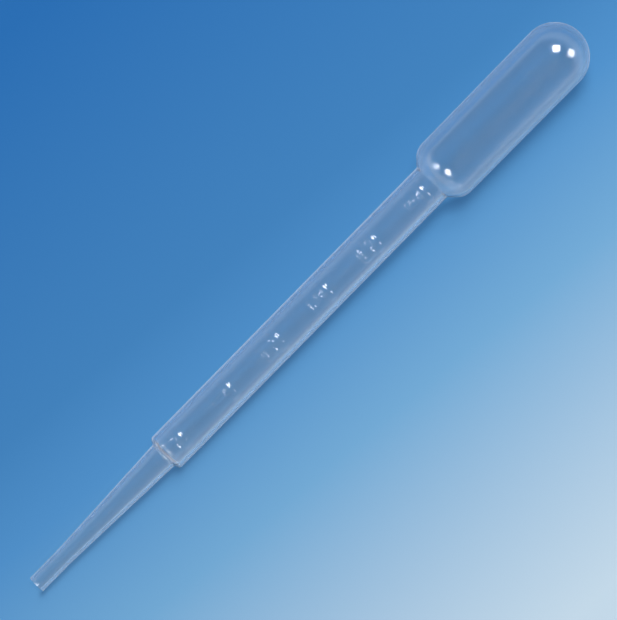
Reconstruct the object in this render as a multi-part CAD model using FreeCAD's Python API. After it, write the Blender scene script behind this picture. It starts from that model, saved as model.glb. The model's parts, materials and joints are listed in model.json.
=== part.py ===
"""A graduated dropper pipette, blown in one piece from soft clear polyethylene.

It is one hollow body of revolution, open only at the fine end of its tip.  Along its axis come a
parallel outlet, a slender cone, a step up to the straight graduated stem, a flared neck, and the
squeeze bulb with a round crown.  The wall is thinnest in the bulb, where the plastic was blown out
furthest, and thicker at the crown, where the blown tube was pinched shut.  A fine seam runs down
both sides, where the two halves of the mould met.  Low raised lines on the stem each mark a further
half millilitre, so they stand where the bore holds those volumes.

Millimetres.  The pipette is drawn along +X with its outlet at x = 0, and is then laid down as it
comes to rest: the axis leans a little, on the bulb and on the step of the stem, with the outlet
clear of the surface.  The part's frame has +Z up, the surface at z = 0, and its origin under the
middle of the pipette.
"""

import FreeCAD
import Part

import math
import os

# --- lengths along the axis ---
overall_length = 155.0
tip_length = 36.4         # outlet end to the step of the stem
outlet_length = 8.0       # parallel stretch at the end of the tip
bulb_length = 42.0        # neck corner to the crown

# --- outside diameters ---
outlet_od = 3.6
tip_root_od = 5.9
stem_od = 8.3
bulb_neck_od = 13.6       # the bulb widens a little from the neck to the crown
bulb_crown_od = 13.95

# --- wall thickness ---
tip_wall = 0.58
stem_wall = 0.75
bulb_wall = 0.48
crown_wall = 0.75

# --- steps, slopes and rounding ---
step_angle = 62.0         # degrees from the axis, at the step between tip and stem
neck_angle = 47.0         # degrees from the axis, at the neck under the bulb
outlet_rim_radius = 0.15
outlet_blend_radius = 40.0
root_radius = 0.35        # hollow corner where the tip meets the step
step_radius = 0.9         # round edge of the step
neck_radius = 0.5         # hollow corner under the bulb
bulb_shoulder_radius = 4.8
FULL_ROUND = math.inf     # a corner rounded as far as its two sides allow

# --- mould seam, down both sides ---
seam_width = 0.24
seam_height = 0.06

# --- graduations ---
mark_volume = 500.0       # cubic millimetres from one line to the next
mark_width = 1.7
mark_height = 0.22
mark_sweep = 80.0         # degrees of the stem's top that each line covers

# --- worked out ---
neck_x = overall_length - bulb_length
stem_radius = stem_od / 2
stem_bore_radius = stem_radius - stem_wall
outlet_bore_radius = outlet_od / 2 - tip_wall
BORE_OVERRUN = 1.0        # the hollow is cut this far past the outlet's end
SAME = 1e-6               # lengths that differ by less count as equal
AXIS = FreeCAD.Vector(1, 0, 0)
SIDEWAYS = FreeCAD.Vector(0, 1, 0)
ORIGIN = FreeCAD.Vector(0, 0, 0)


def outer_corners(skin=0.0):
    """The outside, from the outlet's end to the crown, as (x, radius, corner radius)."""
    step_run = (stem_od - tip_root_od) / 2 / math.tan(math.radians(step_angle))
    neck_run = (bulb_neck_od - stem_od) / 2 / math.tan(math.radians(neck_angle))
    return [
        (0.0, 0.0, 0.0),
        (0.0, outlet_od / 2 + skin, outlet_rim_radius),
        (outlet_length, outlet_od / 2 + skin, outlet_blend_radius),
        (tip_length, tip_root_od / 2 + skin, root_radius),
        (tip_length + step_run, stem_radius + skin, step_radius),
        (neck_x, stem_radius + skin, neck_radius),
        (neck_x + neck_run, bulb_neck_od / 2 + skin, bulb_shoulder_radius),
        (overall_length + skin, bulb_crown_od / 2 + skin, FULL_ROUND),
        (overall_length + skin, 0.0, 0.0),
    ]


def bore_corners():
    """The hollow inside, a wall's thickness within the outside, from past the outlet to the crown."""
    step = math.radians(step_angle)
    neck = math.radians(neck_angle)
    root_bore = tip_root_od / 2 - tip_wall
    neck_bore = bulb_neck_od / 2 - bulb_wall
    # The sloping walls at the step and the neck keep the thickness of the wall that they lead to.
    step_start = tip_length + stem_wall / math.sin(step) - tip_wall / math.tan(step)
    step_end = tip_length + stem_wall / math.sin(step) + (stem_bore_radius - tip_root_od / 2) / math.tan(step)
    neck_start = neck_x + bulb_wall / math.sin(neck) - stem_wall / math.tan(neck)
    neck_end = neck_x + bulb_wall / math.sin(neck) + (neck_bore - stem_radius) / math.tan(neck)
    return [
        (-BORE_OVERRUN, 0.0, 0.0),
        (-BORE_OVERRUN, outlet_bore_radius, 0.0),
        (outlet_length, outlet_bore_radius, outlet_blend_radius),
        (step_start, root_bore, root_radius + tip_wall),
        (step_end, stem_bore_radius, max(step_radius - stem_wall, 0.0)),
        (neck_start, stem_bore_radius, neck_radius + stem_wall),
        (neck_end, neck_bore, bulb_shoulder_radius - bulb_wall),
        (overall_length - crown_wall, bulb_crown_od / 2 - bulb_wall, FULL_ROUND),
        (overall_length - crown_wall, 0.0, 0.0),
    ]


def rounded(corners):
    """Edges through the corners in the XY plane, and the centre of each rounding: (edges, centres)."""
    points = [FreeCAD.Vector(x, r, 0) for x, r, _ in corners]
    last = len(corners) - 1
    edges, centres, pen = [], [None] * len(corners), points[0]
    for i in range(1, len(corners)):
        arrive = (points[i] - points[i - 1]).normalize()
        cut = 0.0
        if i < last and corners[i][2] > 0:
            leave = (points[i + 1] - points[i]).normalize()
            half_turn = arrive.getAngle(leave) / 2
            cut = min(corners[i][2] * math.tan(half_turn), *free_legs(corners, points, i))
        if cut < SAME:
            edges.append(Part.LineSegment(pen, points[i]).toShape())
            pen = points[i]
            continue
        radius = cut / math.tan(half_turn)
        start, end = points[i] - arrive * cut, points[i] + leave * cut
        centre = points[i] + (leave - arrive).normalize() * (radius / math.cos(half_turn))
        middle = centre + (points[i] - centre).normalize() * radius
        if (start - pen).Length > SAME:
            edges.append(Part.LineSegment(pen, start).toShape())
        edges.append(Part.Arc(start, middle, end).toShape())
        centres[i] = (centre, radius)
        pen = end
        if i == last - 1 and (points[last] - pen).Length < SAME:
            break
    return edges, centres


def free_legs(corners, points, i):
    """How much of the side before and after corner i its rounding may use: all, or half if shared."""
    legs = []
    for j in (i - 1, i + 1):
        side = (points[j] - points[i]).Length
        legs.append(side / 2 if corners[j][2] > 0 else side)
    return legs


def turned(corners):
    """The solid that the outline sweeps about the axis."""
    edges, _ = rounded(corners)
    start, end = edges[0].Vertexes[0].Point, FreeCAD.Vector(corners[-1][0], 0, 0)
    outline = Part.Wire(edges + [Part.LineSegment(end, start).toShape()])
    return Part.Face(outline).revolve(ORIGIN, AXIS, 360)


def mould_seam():
    """A thin plate on the parting plane, which stands proud of the outside all the way round."""
    side, _ = rounded(outer_corners(seam_height))
    other_side = [edge.mirror(ORIGIN, SIDEWAYS) for edge in side]
    plate = Part.Face(Part.Wire(Part.__sortEdges__(side + other_side)))
    plate.translate(FreeCAD.Vector(0, 0, -seam_width / 2))
    return plate.extrude(FreeCAD.Vector(0, 0, seam_width))


def mark_places(bore):
    """Where the lines stand: one at each further mark_volume that the bore holds, as far as the neck."""
    block = Part.makeBox(neck_x, stem_od, stem_od, FreeCAD.Vector(0, -stem_od / 2, -stem_od / 2))
    held = bore.common(block).Volume
    area = math.pi * stem_bore_radius ** 2
    stem_start = tip_length + step_radius + stem_wall
    full = [n * mark_volume for n in range(1, math.ceil(held / mark_volume))]
    places = [neck_x - (held - volume) / area for volume in full]
    clear_of_ends = mark_width / 2 + neck_radius
    return [x for x in places if stem_start < x < neck_x - clear_of_ends]


def graduation_line(x):
    """One low rounded rib over the top of the stem."""
    left = FreeCAD.Vector(x - mark_width / 2, 0, stem_radius)
    crest = FreeCAD.Vector(x, 0, stem_radius + mark_height)
    right = FreeCAD.Vector(x + mark_width / 2, 0, stem_radius)
    sunk = FreeCAD.Vector(0, 0, -stem_wall / 2)     # the foot of the rib lies inside the wall
    section = Part.Wire([
        Part.Arc(left, crest, right).toShape(),
        Part.makeLine(right, right + sunk),
        Part.makeLine(right + sunk, left + sunk),
        Part.makeLine(left + sunk, left),
    ])
    rib = Part.Face(section).revolve(ORIGIN, AXIS, mark_sweep)
    rib.rotate(ORIGIN, AXIS, -mark_sweep / 2)
    return rib


def resting_lean(mass_x):
    """The lean of the axis on a flat surface, in degrees, and the axis's height at the outlet's end.

    It rests on two of its outward roundings, with the centre of mass between them and with no other
    one reaching lower.
    """
    corners = outer_corners()
    _, centres = rounded(corners)
    feet = [(c[0].x, c[0].y, c[1]) for c, corner in zip(centres, corners) if c and c[0].y < corner[1]]
    for i, (x1, r1, round1) in enumerate(feet):
        for x2, r2, round2 in feet[i + 1:]:
            run, rise = x2 - x1, r2 - r1
            span = math.hypot(run, rise)
            if abs(round1 - round2) >= span:
                continue
            lean = math.atan2(rise, run) - math.asin((round1 - round2) / span)
            reach = [r * math.cos(lean) - x * math.sin(lean) + round_ for x, r, round_ in feet]
            height = r1 * math.cos(lean) - x1 * math.sin(lean) + round1
            touch1, touch2 = x1 - round1 * math.sin(lean), x2 - round2 * math.sin(lean)
            if max(reach) < height + SAME and touch1 < mass_x < touch2:
                return math.degrees(lean), height
    raise ValueError("the pipette finds no rest on these roundings")


def lay_down(shape):
    """The pipette as it comes to rest, over the origin."""
    lean, height = resting_lean(shape.CenterOfMass.x)
    laid = shape.copy()
    laid.rotate(ORIGIN, SIDEWAYS, -lean)
    box = laid.optimalBoundingBox(False)
    laid.translate(FreeCAD.Vector(-box.Center.x, 0, height))
    return laid


def pipette():
    bore = turned(bore_corners())
    body = turned(outer_corners()).fuse(mould_seam())
    body = body.fuse([graduation_line(x) for x in mark_places(bore)])
    made = body.cut(bore).removeSplitter().Solids
    if len(made) != 1:
        raise ValueError(f"the pipette came out as {len(made)} solids")
    return lay_down(made[0])


def main():
    os.makedirs("parts", exist_ok=True)
    pipette().exportStep("parts/pipette.step")


if __name__ == "__main__":
    main()
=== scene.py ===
import json
import math

import bpy
from mathutils import Matrix, Vector
from mathutils.bvhtree import BVHTree


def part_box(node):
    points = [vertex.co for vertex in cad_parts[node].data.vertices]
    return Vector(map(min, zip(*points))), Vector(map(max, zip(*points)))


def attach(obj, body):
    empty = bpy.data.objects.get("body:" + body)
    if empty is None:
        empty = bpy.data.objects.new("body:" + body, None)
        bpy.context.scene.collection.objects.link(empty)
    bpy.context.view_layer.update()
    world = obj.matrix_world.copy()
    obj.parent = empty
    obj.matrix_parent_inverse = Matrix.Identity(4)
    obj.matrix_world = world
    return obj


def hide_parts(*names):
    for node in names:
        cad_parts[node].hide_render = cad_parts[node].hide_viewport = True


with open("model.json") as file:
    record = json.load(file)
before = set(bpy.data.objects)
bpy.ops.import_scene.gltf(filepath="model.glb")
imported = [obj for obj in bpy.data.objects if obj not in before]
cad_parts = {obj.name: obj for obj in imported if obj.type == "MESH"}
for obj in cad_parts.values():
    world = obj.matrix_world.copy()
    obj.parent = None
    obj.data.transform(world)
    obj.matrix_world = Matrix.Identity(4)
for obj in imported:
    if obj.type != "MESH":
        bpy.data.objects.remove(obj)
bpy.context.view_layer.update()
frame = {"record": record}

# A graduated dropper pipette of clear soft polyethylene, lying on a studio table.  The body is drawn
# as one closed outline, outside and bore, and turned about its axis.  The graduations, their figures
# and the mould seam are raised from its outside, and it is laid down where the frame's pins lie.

bl_info = {
    "name": "Dropper Pipette",
    "version": (1, 0, 0),
    "blender": (4, 5, 0),
    "location": "View3D > Sidebar > Pipette",
    "description": "Makes a graduated dropper pipette of blown polyethylene, and its studio stage",
    "category": "Add Mesh",
}

MM = 0.001
# The pipette is drawn along +X with its outlet at x = 0, and is then laid down.
AXIS = Vector((1, 0, 0))
SIDEWAYS = Vector((0, 1, 0))


def pin(name):
    """One of the record's pins: middle, direction towards the bulb, radius and length."""
    for mount in frame["record"]["mounts"]:
        if mount["name"] == name:
            size = mount["dims"]
            towards_bulb = -Vector(mount["axis"])
            return Vector(mount["pos_m"]), towards_bulb, size["r_mm"] * MM, size["length_mm"] * MM
    raise ValueError(f"the record has no pin named {name}")


OUTLET_MIDDLE, TO_BULB, OUTLET_RADIUS, OUTLET_STRAIGHT = pin("tip_end")
_, _, STEM_RADIUS, STEM_STRAIGHT = pin("stem")

# --- slopes and rounding ---
STEP_ANGLE = math.radians(62)     # from the axis, at the step between tip and stem
NECK_ANGLE = math.radians(47)     # from the axis, at the neck under the bulb
RIM_RADIUS = 0.15 * MM            # round edge of the outlet
BORE_EDGE = 0.08 * MM             # round edge of the outlet's bore
OUTLET_BLEND = 40 * MM            # from the parallel outlet into the cone of the tip
ROOT_ROUND = 0.35 * MM            # hollow corner where the tip meets the step
STEP_ROUND = 0.9 * MM             # round edge of the step
NECK_ROUND = 0.5 * MM             # hollow corner under the bulb
SHOULDER_ROUND = 4.8 * MM         # the bulb's shoulder over the neck
FULL_ROUND = 1.0                  # a corner rounded as far as its two sides allow
OUTLET_END = OUTLET_MIDDLE - TO_BULB * (OUTLET_STRAIGHT / 2 + RIM_RADIUS)

# --- how finely the body is divided ---
FINEST = 0.05 * MM                # no step round a corner is shorter
FINE = 0.13 * MM                  # ring spacing under the lines and figures
COARSE = 1.1 * MM                 # ring spacing elsewhere
FINE_LEAD = 3                     # fine rings start this many slope widths before a figure's foot
ARC_STEP = math.radians(4)        # turn of one step round a corner
FEWEST_STEPS = 2                  # steps round the smallest corner
NO_LENGTH = 1e-7                  # a line shorter than this is not drawn
WELD = 0.001 * MM                 # points closer than this are one
LEAST_SHARE = 0.001               # relief lower than this share of a line's height is left out
# How the turned body is divided round its axis, from the top: (degrees, steps).  It is finest where
# the figures stand, at the top, and at the seams on both sides.
SPANS = ((52, 26), (32, 7), (12, 10), (84, 21), (84, 21), (12, 10), (32, 7), (52, 26))

# --- plastic ---
CLEAR_IOR = 1.51
MILK_TINT = (0.86, 0.90, 1.0)
MILK_ROUGHNESS = 0.5              # how far in from the edges the milkiness shows
GLOSSY = 1.0                      # the outside, smooth from the mould
MATT = 0.0                        # the bore, which no mould touched
GLOSS_ROUGHNESS = 0.06
CLOUDS_FROM = 0.3                 # the part of the cloud mask's values that counts
CLOUDS_TO = 0.7
SMOOTHEST = 0.09                  # the wall's roughness over that part
ROUGHEST = 0.14
CLOUD_SCALE = 260.0
CLOUD_DETAIL = 3.0
STREAK_SCALE = 420.0
STREAK_DETAIL = 2.0
STREAK_DEPTH = 0.004 * MM
STREAK_STRETCH = (0.12, 1.0, 1.0)     # drawn out along the pipette
EDGE_BLEND = 0.5                  # how soon the wall counts as grazed
# What the wall lets by, from where it is faced to where it is grazed.
GRAZED = ((0.6, (1.0, 1.0, 1.0)), (0.95, (0.6, 0.63, 0.66)))
# Painted shadow on the table: the share of the lamp's light that each point lets by, from the near side to
# the far flank, a little less under the middle.
FLANK_SHARES = ((0.0, 1.0), (0.1, 1.0), (0.42, 0.9), (0.6, 0.84), (0.75, 0.87), (0.88, 0.94), (0.95, 0.96))
# The painted shadow is darkest from here on; it stands in for light that the wall turns aside.
FLANK_EDGE = 0.99                 # from here on the flank turns the lamp's light aside
# The painted shadow's mask faces a fixed way, towards -Y and 30 degrees down, whatever the lamp.
PAINTED_SHADOW_MASK = "painted_shadow_mask"
FLANK_DIP = math.radians(30)      # how far below level the far flank faces
FLANK_FACES = Vector((0, -math.cos(FLANK_DIP), -math.sin(FLANK_DIP)))

# --- stage ---
LAMP_DISTANCE = 2.5
# Each lamp's name, its direction from the pipette, how wide it looks from there, its radiance, and
# whether it casts a shadow.
LAMPS = (
    ("Key lamp", (0.452, 0.32, 1.0), math.radians(22), 14.2, True),
    ("Second lamp", (0.712, -0.424, 0.56), math.radians(20), 9.0, False),
)
PALE_ENDS = 0.45                  # how much higher the pale horizon reaches at the pipette's ends
HORIZON_TOP = 0.2                 # the height, of 1 overhead, at which the horizon ends
TURN_IN_VIEW = math.radians(45.5)     # how far the pipette's axis is turned from level in the view
CAMERA_HEIGHT = 1.2
VIEW_HEIGHT = 0.1246              # how much of the table the view takes in, from top to bottom
VIEW_MIDDLE_Y = -0.0003
SENSOR = 36.0
CLIP_NEAR = 0.1
CLIP_FAR = 10.0
TABLE_RADIUS = 3.0
TABLE_SIDES = 96
TABLE_ROUGHNESS = 0.9
TABLE_SHINE = 0.02
# The table's painted light falloff also runs along the pipette, by this much.
TABLE_SLANT = 0.1                 # how much the table's tone also changes along the pipette
# Where across the table each of its tones lies.  The ramp is the sheet's own blue with painted light
# falloff: darker at the back, paler at the front.
TABLE_DEEP_Y = 0.082
TABLE_BACK_Y = 0.018
TABLE_MIDDLE_Y = 0.0
TABLE_FRONT_Y = -0.027
TABLE_PALE_Y = -0.082


# --- sizes and colours that a user would change ---

def length(name, description, default):
    return bpy.props.FloatProperty(
        name=name, description=description, default=default * MM, min=0, unit="LENGTH", precision=4
    )


def amount(name, description, default):
    return bpy.props.FloatProperty(
        name=name, description=description, default=default, subtype="FACTOR", min=0, max=1
    )


def colour(name, description, default):
    return bpy.props.FloatVectorProperty(
        name=name, description=description, default=default, subtype="COLOR", size=3, min=0, max=1
    )


class PipetteSizes(bpy.types.PropertyGroup):
    overall: length("Overall length", "From the outlet's end to the crown of the bulb", 155.0)
    tip: length("Tip length", "From the outlet's end to the step of the stem", 36.4)
    outlet: length("Outlet length", "Parallel stretch at the end of the tip", 8.0)
    bulb: length("Bulb length", "From the neck corner to the crown", 42.0)
    tip_root: length("Tip root radius", "Outside radius where the tip meets the step", 2.95)
    neck: length("Bulb radius at the neck", "Outside radius of the bulb at the neck", 6.8)
    crown: length("Bulb radius at the crown", "Outside radius of the bulb at the crown", 6.975)
    tip_wall: length("Tip wall", "Wall thickness of the tip", 0.58)
    stem_wall: length("Stem wall", "Wall thickness of the stem", 0.75)
    bulb_wall: length("Bulb wall", "Wall thickness of the bulb's side", 0.48)
    crown_wall: length("Crown wall", "Wall thickness at the crown", 0.75)
    seam_width: length("Seam width", "Width of the mould seam at half its height", 0.24)
    seam_height: length("Seam height", "How far the mould seam stands proud", 0.06)


class PipetteMarks(bpy.types.PropertyGroup):
    first: length("First line", "Outlet's end to the first graduation line", 41.449)
    pitch: length("Pitch", "From one graduation line to the next", 13.768)
    count: bpy.props.IntProperty(name="Lines", description="Number of graduation lines", default=6, min=1)
    step: bpy.props.FloatProperty(
        name="Volume step", description="Millilitres from one line to the next", default=0.5
    )
    width: length("Line width", "Width of a line along the stem", 1.7)
    height: length("Height", "How far lines and figures stand proud", 0.22)
    sweep: bpy.props.FloatProperty(
        name="Sweep", description="How much of the stem's top a line covers",
        default=math.radians(80), subtype="ANGLE"
    )
    figure_size: length("Figure size", "Type size of the figures", 3.7)
    figure_gap: length("Figure gap", "From a line back to the foot of its figure", 4.1)
    softness: length("Softness", "Width of the slope round a figure's strokes", 0.45)


class PipetteFinish(bpy.types.PropertyGroup):
    stem_milk: amount("Stem milkiness", "Pale bloom where the stem's wall is seen along", 1.0)
    bulb_milk: amount("Bulb milkiness", "Pale bloom where the bulb's thin wall is seen along", 0.55)
    bore_milk: amount("Stem bore milkiness", "Pale bloom of the stem's bore, seen through the wall", 0.8)
    # Painted shadow: what each far flank passes of the lamp's light to the table.
    stem_painted_shadow: colour("Stem flank", "What the stem's far flank lets past of the lamp", (0.42, 0.46, 0.52))
    bulb_painted_shadow: colour("Bulb flank", "What the bulb's far flank lets past of the lamp", (0.47, 0.51, 0.57))
    tint: colour("Plastic tint", "What the plastic lets through", (0.985, 0.99, 0.995))
    # The table's own blue, with painted light falloff from the deep back to the pale front.
    table_pale: colour("Table, pale side", "The table at the front edge of the view", (0.64, 0.8, 0.93))
    table_front: colour("Table, front", "The table in front of the pipette", (0.198, 0.462, 0.76))
    table_middle: colour("Table, middle", "The table under the pipette", (0.095, 0.323, 0.675))
    table_back: colour("Table, back", "The table behind the pipette", (0.064, 0.257, 0.58))
    table_deep: colour("Table, deep side", "The table at the back edge of the view", (0.028, 0.178, 0.51))
    horizon: colour("Horizon", "Soft light from low all round", (0.42, 0.45, 0.49))
    ceiling: colour("Ceiling", "Soft light from overhead", (0.05, 0.055, 0.06))


# --- helpers ---

def deselect_all():
    for thing in bpy.context.selected_objects:
        thing.select_set(False)


def active_object():
    return bpy.context.view_layer.objects.active


def make_active(piece):
    bpy.context.view_layer.objects.active = piece
    piece.select_set(True)


def edit_mode(on):
    bpy.ops.object.mode_set(mode="EDIT" if on else "OBJECT")


# --- the outline ---

def outside(sizes):
    """The outside from the outlet's end to the crown, as (x, radius, corner radius)."""
    step_run = (STEM_RADIUS - sizes.tip_root) / math.tan(STEP_ANGLE)
    neck_run = (sizes.neck - STEM_RADIUS) / math.tan(NECK_ANGLE)
    neck_x = sizes.overall - sizes.bulb
    return [
        (0.0, OUTLET_RADIUS, RIM_RADIUS),
        (sizes.outlet, OUTLET_RADIUS, OUTLET_BLEND),
        (sizes.tip, sizes.tip_root, ROOT_ROUND),
        (sizes.tip + step_run, STEM_RADIUS, STEP_ROUND),
        (neck_x, STEM_RADIUS, NECK_ROUND),
        (neck_x + neck_run, sizes.neck, SHOULDER_ROUND),
        (sizes.overall, sizes.crown, FULL_ROUND),
        (sizes.overall, 0.0, 0.0),
    ]


def bore(sizes):
    """The hollow from the crown back to the outlet's end, a wall's thickness inside the outside."""
    neck_x = sizes.overall - sizes.bulb
    inner_crown = sizes.overall - sizes.crown_wall
    outlet_bore = OUTLET_RADIUS - sizes.tip_wall
    root_bore = sizes.tip_root - sizes.tip_wall
    stem_bore = STEM_RADIUS - sizes.stem_wall
    neck_bore = sizes.neck - sizes.bulb_wall
    # The sloping walls at the step and the neck keep the thickness of the wall that they lead to.
    step_face = sizes.tip + sizes.stem_wall / math.sin(STEP_ANGLE)
    step_start = step_face - sizes.tip_wall / math.tan(STEP_ANGLE)
    step_end = step_face + (stem_bore - sizes.tip_root) / math.tan(STEP_ANGLE)
    neck_face = neck_x + sizes.bulb_wall / math.sin(NECK_ANGLE)
    neck_start = neck_face - sizes.stem_wall / math.tan(NECK_ANGLE)
    neck_end = neck_face + (neck_bore - STEM_RADIUS) / math.tan(NECK_ANGLE)
    return [
        (inner_crown, 0.0, 0.0),
        (inner_crown, sizes.crown - sizes.bulb_wall, FULL_ROUND),
        (neck_end, neck_bore, SHOULDER_ROUND - sizes.bulb_wall),
        (neck_start, stem_bore, NECK_ROUND + sizes.stem_wall),
        (step_end, stem_bore, STEP_ROUND - sizes.stem_wall),
        (step_start, root_bore, ROOT_ROUND + sizes.tip_wall),
        (sizes.outlet, outlet_bore, OUTLET_BLEND),
        (0.0, outlet_bore, BORE_EDGE),
    ]


def mark_places(marks):
    return [marks.first + i * marks.pitch for i in range(marks.count)]


def start_outline(x, r):
    """One vertex in edit mode, in the XZ plane, where r is the height over the axis."""
    deselect_all()
    bpy.ops.mesh.primitive_plane_add(size=MM, location=(0, 0, 0))
    edit_mode(True)
    bpy.ops.mesh.merge(type="CENTER")
    bpy.ops.transform.translate(value=(x, 0, r))


def line_by(move):
    bpy.ops.mesh.extrude_vertices_move(TRANSFORM_OT_translate={"value": (move.x, 0, move.z)})


def draw_line(pen, end, marks):
    """Extrude from pen to end, in fine steps where the graduations and their figures stand."""
    run = end - pen
    if run.length < NO_LENGTH:
        return
    stops = [0.0, 1.0]
    fine = []
    if run.x > STEM_STRAIGHT / 2:        # the outside of the stem, as the bore is drawn the other way
        for x in mark_places(marks):
            figure_start = x - marks.figure_gap - FINE_LEAD * marks.softness
            line_end = x + marks.width / 2 + marks.softness
            low = max(0.0, (figure_start - pen.x) / run.x)
            high = min(1.0, (line_end - pen.x) / run.x)
            fine.append((low, high))
            stops += [low, high]
    stops.sort()
    for start, stop in zip(stops, stops[1:]):
        dense = any(low <= (start + stop) / 2 <= high for low, high in fine)
        part = (stop - start) * run.length
        steps = max(1, round(part / (FINE if dense else COARSE)))
        for _ in range(steps):
            line_by(run * ((stop - start) / steps))


def draw_outline(corners, marks):
    """Draw lines and tangent arcs through the corners, from the pen's vertex at the first one."""
    points = [Vector((x, 0, r)) for x, r, _ in corners]
    last = len(points) - 1
    pen = points[0]
    for i in range(1, last + 1):
        rounding = corners[i][2]
        before = points[i] - points[i - 1]
        if i == last or rounding <= 0:
            draw_line(pen, points[i], marks)
            pen = points[i]
            continue
        after = points[i + 1] - points[i]
        arrive = before.normalized()
        leave = after.normalized()
        half = arrive.angle(leave) / 2
        # A side between two rounded corners is shared by both.
        free_before = before.length / (2 if corners[i - 1][2] > 0 else 1)
        free_after = after.length / (2 if corners[i + 1][2] > 0 else 1)
        cut = min(rounding * math.tan(half), free_before, free_after)
        radius = cut / math.tan(half)
        start = points[i] - arrive * cut
        centre = points[i] + (leave - arrive).normalized() * (radius / math.cos(half))
        draw_line(pen, start, marks)
        turn = math.copysign(2 * half, -arrive.cross(leave).y)
        steps = max(FEWEST_STEPS, math.ceil(min(2 * half / ARC_STEP, 2 * half * radius / FINEST)))
        bpy.ops.mesh.spin(steps=steps, angle=turn, center=centre, axis=SIDEWAYS)
        pen = points[i] + leave * cut


def turn_outline():
    """Turn the outline about the axis, and close the seam where the turn ends."""
    bpy.ops.mesh.select_all(action="SELECT")
    for degrees, steps in SPANS:
        bpy.ops.mesh.spin(steps=steps, angle=math.radians(degrees), center=(0, 0, 0), axis=AXIS)
    bpy.ops.mesh.select_all(action="SELECT")
    bpy.ops.mesh.remove_doubles(threshold=WELD)
    bpy.ops.mesh.normals_make_consistent(inside=False)


# --- what stands proud of the outside ---

def figure_shapes(marks):
    """The flat shape of each line's figure, as (place of the line, search tree over its faces)."""
    shapes = []
    for i, x in enumerate(mark_places(marks)):
        deselect_all()
        bpy.ops.object.text_add(location=(0, 0, 0))
        text = active_object().data
        text.body = f"{(i + 1) * marks.step:g}"
        text.size = marks.figure_size
        text.align_x = "CENTER"
        bpy.ops.object.convert(target="MESH")
        flat = active_object()
        points = [vertex.co for vertex in flat.data.vertices]
        faces = [face.vertices for face in flat.data.polygons]
        shapes.append((x, BVHTree.FromPolygons(points, faces)))
        bpy.data.objects.remove(flat)
    return shapes


def soft_edge(distance, width):
    """1 at no distance, falling smoothly to 0 at the width."""
    t = min(max(distance / width, 0.0), 1.0)
    return (1 - t * t) ** 2


def line_height(dx, angle, marks):
    """A line's height there, as a share: a round back, and ends that fade into the stem."""
    half = marks.width / 2
    rise = marks.height
    bow = (half * half + rise * rise) / (2 * rise)       # radius of the round back
    if abs(dx) >= half or abs(angle) >= marks.sweep / 2:
        return 0.0
    back = (math.sqrt(bow * bow - dx * dx) - (bow - rise)) / rise
    to_end = (marks.sweep / 2 - abs(angle)) * STEM_RADIUS
    return back * (1 - soft_edge(to_end, half))


def raised_share(x, y, z, shapes, sizes, marks):
    """How high the outside stands proud at a point of it, as a share of the lines' height."""
    raised = soft_edge(abs(z), sizes.seam_width) * sizes.seam_height / marks.height
    if z <= 0 or abs(math.hypot(y, z) - STEM_RADIUS) > WELD:
        return raised
    angle = math.atan2(y, z)
    for place, tree in shapes:
        dx = x - place
        if not -marks.figure_gap - marks.figure_size < dx < marks.width:
            continue
        raised = max(raised, line_height(dx, angle, marks))
        spot = Vector((-angle * STEM_RADIUS, dx + marks.figure_gap, 0))
        _, _, _, distance = tree.find_nearest(spot, marks.softness)
        if distance is not None:
            raised = max(raised, soft_edge(distance, marks.softness))
    return raised


def raise_relief(piece, sizes, marks):
    """Push the outside out by its relief, with a Displace modifier over painted weights."""
    shapes = figure_shapes(marks)
    make_active(piece)
    group = piece.vertex_groups.new(name="raised")
    for vertex in piece.data.vertices:
        x, y, z = vertex.co
        if vertex.normal.y * y + vertex.normal.z * z < 0:
            continue                     # the bore
        raised = raised_share(x, y, z, shapes, sizes, marks)
        if raised > LEAST_SHARE:
            group.add([vertex.index], raised, "REPLACE")
    relief = piece.modifiers.new("Relief", "DISPLACE")
    relief.direction = "NORMAL"
    relief.mid_level = 0
    relief.strength = marks.height
    relief.vertex_group = group.name
    bpy.ops.object.modifier_apply(modifier=relief.name)
    piece.vertex_groups.clear()


def note_painted_shadow_mask(piece):
    """Store how much each point faces the far flank's way, towards -Y and somewhat down: 0 to 1.  This mask
    paints the shadow that the plastic casts on the table.
    """
    flank = piece.data.attributes.new(PAINTED_SHADOW_MASK, "FLOAT", "POINT")
    facing = []
    for vertex in piece.data.vertices:
        radius = max(math.hypot(vertex.co.y, vertex.co.z), WELD)
        facing.append(max(0.0, vertex.co.dot(FLANK_FACES) / radius))
    flank.data.foreach_set("value", facing)


def lay_down(piece):
    """Lay the finished piece where the frame's pins lie, and leave its object at the origin."""
    lean = AXIS.rotation_difference(TO_BULB).to_matrix().to_4x4()
    piece.matrix_world = Matrix.Translation(OUTLET_END) @ lean
    deselect_all()
    make_active(piece)
    bpy.ops.object.transform_apply(location=True, rotation=True, scale=True)


# --- materials ---

def new_material(name):
    material = bpy.data.materials.new(name)
    material.use_nodes = True
    nodes = material.node_tree.nodes
    return material, nodes, material.node_tree.links, nodes["Principled BSDF"]


def set_inputs(node, **values):
    """Set the node's sockets, each named with _ for a space."""
    for socket, value in values.items():
        node.inputs[socket.replace("_", " ")].default_value = value


def tone_ramp(nodes, stops):
    """A colour ramp with a stop for each (place, colour), in order."""
    ramp = nodes.new("ShaderNodeValToRGB")
    first, *between, last = stops
    for element, (place, shade) in zip(ramp.color_ramp.elements, (first, last)):
        element.position = place
        element.color = (*shade, 1)
    for place, shade in between:
        ramp.color_ramp.elements.new(place).color = (*shade, 1)
    return ramp


def vector_math(nodes, operation):
    node = nodes.new("ShaderNodeVectorMath")
    node.operation = operation
    return node


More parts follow.
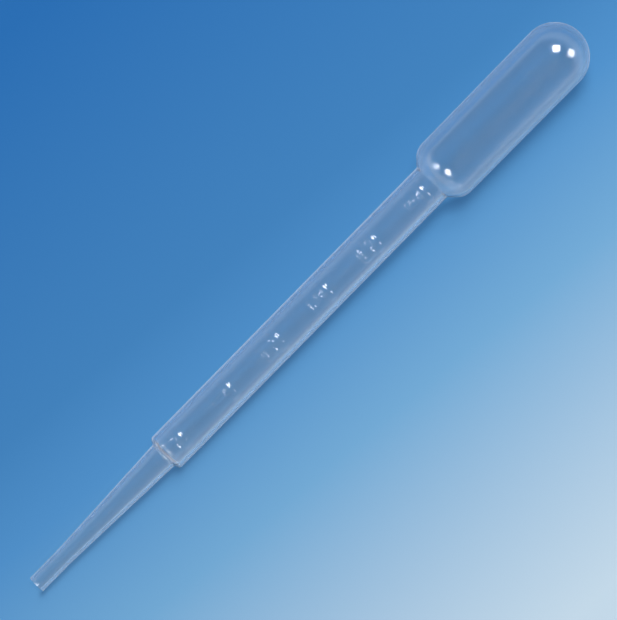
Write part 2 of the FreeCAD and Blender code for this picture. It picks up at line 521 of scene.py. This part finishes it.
def moulding_group():
    """Flow streaks and faint unevenness of blown plastic: puts out a cloud mask and a normal."""
    group = bpy.data.node_groups.new("Blown moulding", "ShaderNodeTree")
    face = group.interface
    face.new_socket("Streak scale", in_out="INPUT", socket_type="NodeSocketFloat")
    face.new_socket("Depth", in_out="INPUT", socket_type="NodeSocketFloat")
    face.new_socket("Cloud", in_out="OUTPUT", socket_type="NodeSocketFloat")
    face.new_socket("Normal", in_out="OUTPUT", socket_type="NodeSocketVector")
    nodes, links = group.nodes, group.links
    given = nodes.new("NodeGroupInput")
    out = nodes.new("NodeGroupOutput")
    place = nodes.new("ShaderNodeTexCoord")
    drawn = nodes.new("ShaderNodeMapping")
    set_inputs(drawn, Scale=STREAK_STRETCH)
    streaks = nodes.new("ShaderNodeTexNoise")
    set_inputs(streaks, Detail=STREAK_DETAIL)
    clouds = nodes.new("ShaderNodeTexNoise")
    set_inputs(clouds, Scale=CLOUD_SCALE, Detail=CLOUD_DETAIL)
    bump = nodes.new("ShaderNodeBump")
    set_inputs(bump, Strength=1.0)
    links.new(place.outputs["Object"], drawn.inputs["Vector"])
    links.new(drawn.outputs["Vector"], streaks.inputs["Vector"])
    links.new(place.outputs["Object"], clouds.inputs["Vector"])
    links.new(given.outputs["Streak scale"], streaks.inputs["Scale"])
    links.new(given.outputs["Depth"], bump.inputs["Distance"])
    links.new(streaks.outputs["Fac"], bump.inputs["Height"])
    links.new(clouds.outputs["Fac"], out.inputs["Cloud"])
    links.new(bump.outputs["Normal"], out.inputs["Normal"])
    return group


def plastic_material(name, moulding, tint, milk, gloss, painted_shadow):
    """Clear soft polyethylene with a smooth moulded gloss, milkier where its wall is seen along."""
    material, nodes, links, shader = new_material(name)
    set_inputs(
        shader, Base_Color=(*tint, 1), Transmission_Weight=1.0, IOR=CLEAR_IOR,
        Sheen_Weight=milk, Sheen_Roughness=MILK_ROUGHNESS, Sheen_Tint=(*MILK_TINT, 1),
        Coat_Weight=gloss, Coat_Roughness=GLOSS_ROUGHNESS
    )
    moulded = nodes.new("ShaderNodeGroup")
    moulded.node_tree = moulding
    set_inputs(moulded, Streak_scale=STREAK_SCALE, Depth=STREAK_DEPTH)
    rough = nodes.new("ShaderNodeMapRange")
    set_inputs(rough, From_Min=CLOUDS_FROM, From_Max=CLOUDS_TO, To_Min=SMOOTHEST, To_Max=ROUGHEST)
    links.new(moulded.outputs["Cloud"], rough.inputs["Value"])
    links.new(rough.outputs["Result"], shader.inputs["Roughness"])
    links.new(moulded.outputs["Normal"], shader.inputs["Normal"])
    # Painted shadow: what the plastic passes of the lamps' light to the table.
    let_light_by(nodes, links, shader, painted_shadow)
    return material


def let_light_by(nodes, links, shader, painted_shadow):
    """Light on its way to or from the table passes straight through, but less of it where it grazes
    the wall, and least on the far flank: a painted shadow on the table, set by a fixed mask, which stands
    in for the lamp's light that the wall turns aside."""
    facing = nodes.new("ShaderNodeLayerWeight")
    set_inputs(facing, Blend=EDGE_BLEND)
    grazed = tone_ramp(nodes, GRAZED)
    flank = nodes.new("ShaderNodeAttribute")
    flank.attribute_name = PAINTED_SHADOW_MASK
    shares = [(place, (passed, passed, passed)) for place, passed in FLANK_SHARES]
    # Painted shadow: the ramp from the mask to what each point passes of the lamp's light.
    turned = tone_ramp(nodes, shares + [(FLANK_EDGE, painted_shadow)])
    both = vector_math(nodes, "MULTIPLY")
    veil = nodes.new("ShaderNodeBsdfTransparent")
    links.new(facing.outputs["Facing"], grazed.inputs["Fac"])
    links.new(flank.outputs["Fac"], turned.inputs["Fac"])
    links.new(grazed.outputs["Color"], both.inputs[0])
    links.new(turned.outputs["Color"], both.inputs[1])
    links.new(both.outputs["Vector"], veil.inputs["Color"])
    path = nodes.new("ShaderNodeLightPath")
    shown = shader.outputs["BSDF"]
    for ray in ("Is Shadow Ray", "Is Diffuse Ray"):
        mix = nodes.new("ShaderNodeMixShader")
        links.new(path.outputs[ray], mix.inputs["Fac"])
        links.new(shown, mix.inputs[1])
        links.new(veil.outputs["BSDF"], mix.inputs[2])
        shown = mix.outputs["Shader"]
    links.new(shown, nodes["Material Output"].inputs["Surface"])


def give_plastics(piece, finish):
    """Give the piece its four plastics: outside and bore of the stem, then the same of the bulb."""
    moulding = moulding_group()
    for part, milk, gloss, painted_shadow in (
        ("", finish.stem_milk, GLOSSY, finish.stem_painted_shadow),
        ("_bore", finish.bore_milk, MATT, finish.stem_painted_shadow),
        ("_bulb", finish.bulb_milk, GLOSSY, finish.bulb_painted_shadow),
        ("_bulb_bore", finish.bulb_milk, MATT, finish.bulb_painted_shadow),
    ):
        name = "clear_polyethylene" + part
        plastic = plastic_material(name, moulding, finish.tint, milk, gloss, painted_shadow)
        piece.data.materials.append(plastic)


def share_out_plastics(piece, neck):
    """Share the four plastics out over the faces, by their side of the wall and of the neck."""
    for face in piece.data.polygons:
        along = (face.center - OUTLET_END).dot(TO_BULB)
        out = face.center - OUTLET_END - TO_BULB * along
        inner = face.normal.dot(out) < 0
        face.material_index = 2 * int(face.center.x > neck) + int(inner)


def table_material(finish):
    """A plain matt sheet whose tone eases from its deeper side to its pale side: painted light falloff over
    its own blue.
    """
    material, nodes, links, shader = new_material("table_sheet")
    set_inputs(shader, Roughness=TABLE_ROUGHNESS, Specular_IOR_Level=TABLE_SHINE)
    place = nodes.new("ShaderNodeTexCoord")
    across = vector_math(nodes, "DOT_PRODUCT")
    across.inputs[1].default_value = (TABLE_SLANT, 1, 0)
    where = nodes.new("ShaderNodeMapRange")
    set_inputs(where, From_Min=TABLE_DEEP_Y, From_Max=TABLE_PALE_Y)
    reach = TABLE_DEEP_Y - TABLE_PALE_Y
    tone = tone_ramp(nodes, [((TABLE_DEEP_Y - y) / reach, shade) for y, shade in (
        (TABLE_DEEP_Y, finish.table_deep),
        (TABLE_BACK_Y, finish.table_back),
        (TABLE_MIDDLE_Y, finish.table_middle),
        (TABLE_FRONT_Y, finish.table_front),
        (TABLE_PALE_Y, finish.table_pale),
    )])
    links.new(place.outputs["Object"], across.inputs[0])
    links.new(across.outputs["Value"], where.inputs["Value"])
    links.new(where.outputs["Result"], tone.inputs["Fac"])
    links.new(tone.outputs["Color"], shader.inputs["Base Color"])
    return material


class PIPETTE_OT_body(bpy.types.Operator):
    """Turn the blown body, raise its lines, figures and seam, and lay it down"""
    bl_idname = "pipette.body"
    bl_label = "Pipette body"

    def execute(self, context):
        sizes = context.scene.pipette_sizes
        marks = context.scene.pipette_marks
        # One closed outline: along the bore from crown to outlet, and back along the outside.
        inside = bore(sizes)
        crown_x, crown_r, _ = inside[0]
        start_outline(crown_x, crown_r)
        draw_outline(inside + outside(sizes), marks)
        turn_outline()
        edit_mode(False)
        piece = active_object()
        piece.name = piece.data.name = "pipette_body"
        raise_relief(piece, sizes, marks)
        note_painted_shadow_mask(piece)
        lay_down(piece)
        bpy.ops.object.shade_smooth()
        give_plastics(piece, context.scene.pipette_finish)
        neck = (Vector(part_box("pipette")[1]) - TO_BULB * sizes.bulb).x
        share_out_plastics(piece, neck)
        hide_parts("pipette")
        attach(piece, "root")
        return {"FINISHED"}


# --- stage ---

def add_lamp(name, direction, spread, radiance, shadow):
    """A square lamp that faces the pipette, with two sides level in the view."""
    toward = Vector(direction).normalized()
    bpy.ops.object.light_add(type="AREA", location=toward * LAMP_DISTANCE)
    lamp = active_object()
    lamp.name = name
    level = Vector((math.cos(TURN_IN_VIEW), -math.sin(TURN_IN_VIEW), 0))
    level = (level - toward * level.dot(toward)).normalized()
    lamp.rotation_euler = Matrix((level, toward.cross(level), toward)).transposed().to_euler()
    lamp.data.shape = "SQUARE"
    lamp.data.size = 2 * LAMP_DISTANCE * math.tan(spread / 2)
    lamp.data.energy = radiance * math.pi * lamp.data.size ** 2
    lamp.data.use_shadow = shadow
    lamp.visible_camera = False


def add_world(finish):
    """Soft light from all round: pale at the horizon and further up at both ends of the pipette,
    and darker overhead."""
    world = bpy.data.worlds.new("Studio")
    bpy.context.scene.world = world
    world.use_nodes = True
    nodes, links = world.node_tree.nodes, world.node_tree.links
    place = nodes.new("ShaderNodeTexCoord")
    both_ends = vector_math(nodes, "ABSOLUTE")
    height = vector_math(nodes, "DOT_PRODUCT")
    height.inputs[1].default_value = (-PALE_ENDS, 0, 1)
    tone = tone_ramp(nodes, [(0.0, finish.horizon), (HORIZON_TOP, finish.ceiling)])
    links.new(place.outputs["Generated"], both_ends.inputs[0])
    links.new(both_ends.outputs["Vector"], height.inputs[0])
    links.new(height.outputs["Value"], tone.inputs["Fac"])
    links.new(tone.outputs["Color"], nodes["Background"].inputs["Color"])


def add_table(finish):
    deselect_all()
    bpy.ops.mesh.primitive_circle_add(
        vertices=TABLE_SIDES, radius=TABLE_RADIUS, fill_type="NGON", location=(0, 0, 0)
    )
    table = active_object()
    table.name = "table"
    table.data.materials.append(table_material(finish))


def add_camera():
    """A camera straight over the pipette, which lies across the view from corner to corner."""
    bpy.ops.object.camera_add(
        location=(0, VIEW_MIDDLE_Y, CAMERA_HEIGHT), rotation=(0, 0, -TURN_IN_VIEW)
    )
    camera = active_object()
    camera.data.sensor_width = SENSOR
    camera.data.lens = SENSOR * CAMERA_HEIGHT / VIEW_HEIGHT
    camera.data.clip_start = CLIP_NEAR
    camera.data.clip_end = CLIP_FAR
    bpy.context.scene.camera = camera


class PIPETTE_OT_stage(bpy.types.Operator):
    """Set the table, the lamps, the soft surround and the camera over the pipette"""
    bl_idname = "pipette.stage"
    bl_label = "Studio stage"

    def execute(self, context):
        finish = context.scene.pipette_finish
        add_table(finish)
        for lamp in LAMPS:
            add_lamp(*lamp)
        add_world(finish)
        add_camera()
        context.scene.view_settings.view_transform = "Standard"
        return {"FINISHED"}


class PIPETTE_PT_panel(bpy.types.Panel):
    """Lists the makers in the order that they run, with the sizes and colours that they use"""
    bl_idname = "PIPETTE_PT_panel"
    bl_label = "Dropper pipette"
    bl_space_type = "VIEW_3D"
    bl_region_type = "UI"
    bl_category = "Pipette"

    def draw(self, context):
        layout = self.layout
        for operator in OPERATORS:
            layout.operator(operator.bl_idname, text=operator.bl_label)
        scene = context.scene
        for owner in (scene.pipette_sizes, scene.pipette_marks, scene.pipette_finish):
            box = layout.box()
            for name in owner.__annotations__:
                box.prop(owner, name)


OPERATORS = (PIPETTE_OT_body, PIPETTE_OT_stage)
CLASSES = (PipetteSizes, PipetteMarks, PipetteFinish, *OPERATORS, PIPETTE_PT_panel)


def register():
    for cls in CLASSES:
        bpy.utils.register_class(cls)
    bpy.types.Scene.pipette_sizes = bpy.props.PointerProperty(type=PipetteSizes)
    bpy.types.Scene.pipette_marks = bpy.props.PointerProperty(type=PipetteMarks)
    bpy.types.Scene.pipette_finish = bpy.props.PointerProperty(type=PipetteFinish)


def unregister():
    del bpy.types.Scene.pipette_finish
    del bpy.types.Scene.pipette_marks
    del bpy.types.Scene.pipette_sizes
    for cls in reversed(CLASSES):
        bpy.utils.unregister_class(cls)


def main():
    register()
    bpy.ops.pipette.body()
    bpy.ops.pipette.stage()


if __name__ == "__main__":
    main()
